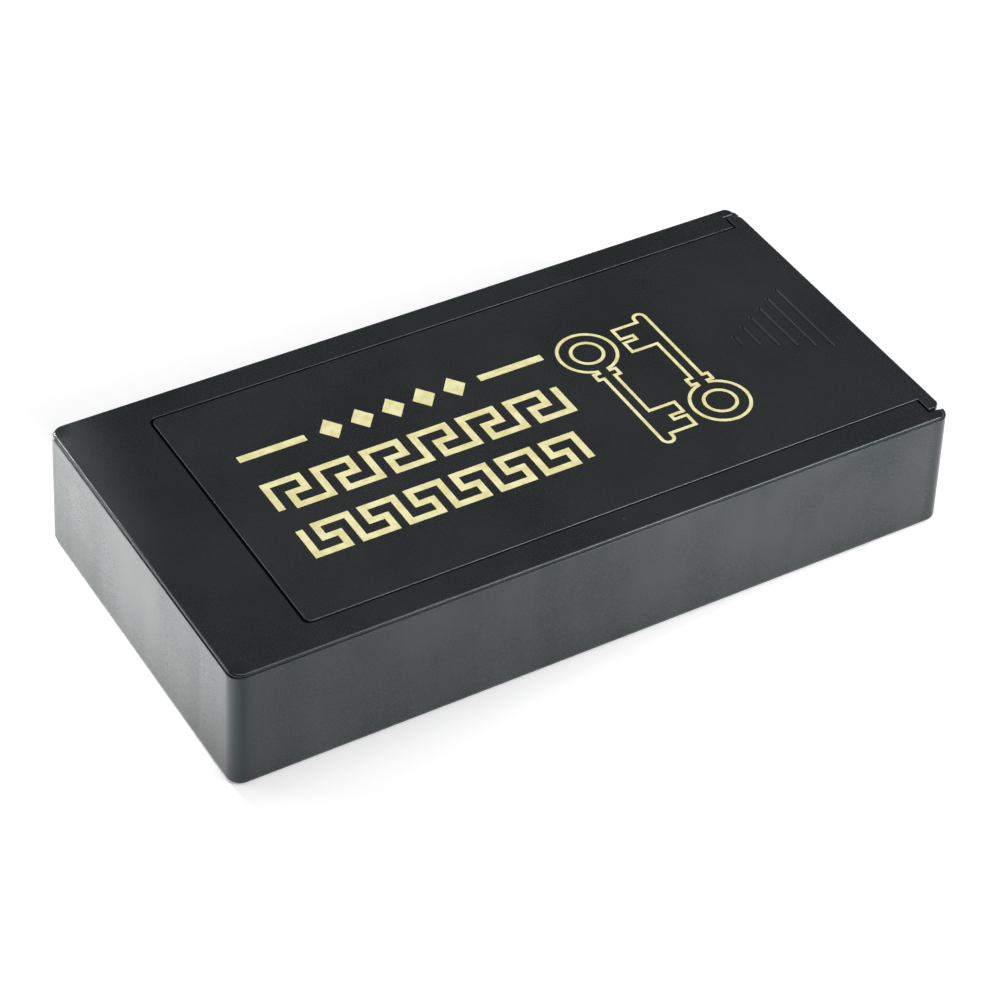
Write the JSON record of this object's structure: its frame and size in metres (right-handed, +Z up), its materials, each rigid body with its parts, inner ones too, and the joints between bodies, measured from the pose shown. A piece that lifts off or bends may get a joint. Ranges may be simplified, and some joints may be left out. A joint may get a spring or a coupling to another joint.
{
  "type": "magnetic key holder box",
  "caption": "Flat moulded plastic box for spare keys, with a sliding lid on rails, grip grooves, and a magnet pack in the closed end whose steel feet hold the underside to iron or steel.",
  "frame": {"origin": "middle of the underside, on the surface that the box rests on", "axes": "+X along the box towards the end where the lid slides out, +Z up out of the lid, +Y across"},
  "size_m": [0.1206, 0.0602, 0.0202],
  "materials": {
    "case_plastic": "black with a fine satin grain",
    "lid_plastic": "black with a fine satin grain, a little smoother than the case",
    "gold_foil": "hot-stamped gold foil, satin",
    "ferrite": "ground ceramic magnet, dark grey",
    "pole_steel": "zinc-plated sheet"
  },
  "bodies": {
    "case": {"tray": "case_plastic", "top_frame": "case_plastic", "magnet_block": "ferrite", "outer_pole_plate": "pole_steel", "inner_pole_plate": "pole_steel"},
    "lid": {"sliding_lid": "lid_plastic"}
  },
  "joints": [
    {"name": "lid_slide", "type": "slide", "parent": "case", "child": "lid", "axis": [1, 0, 0], "range_m": [0, 0.11]}
  ]
}
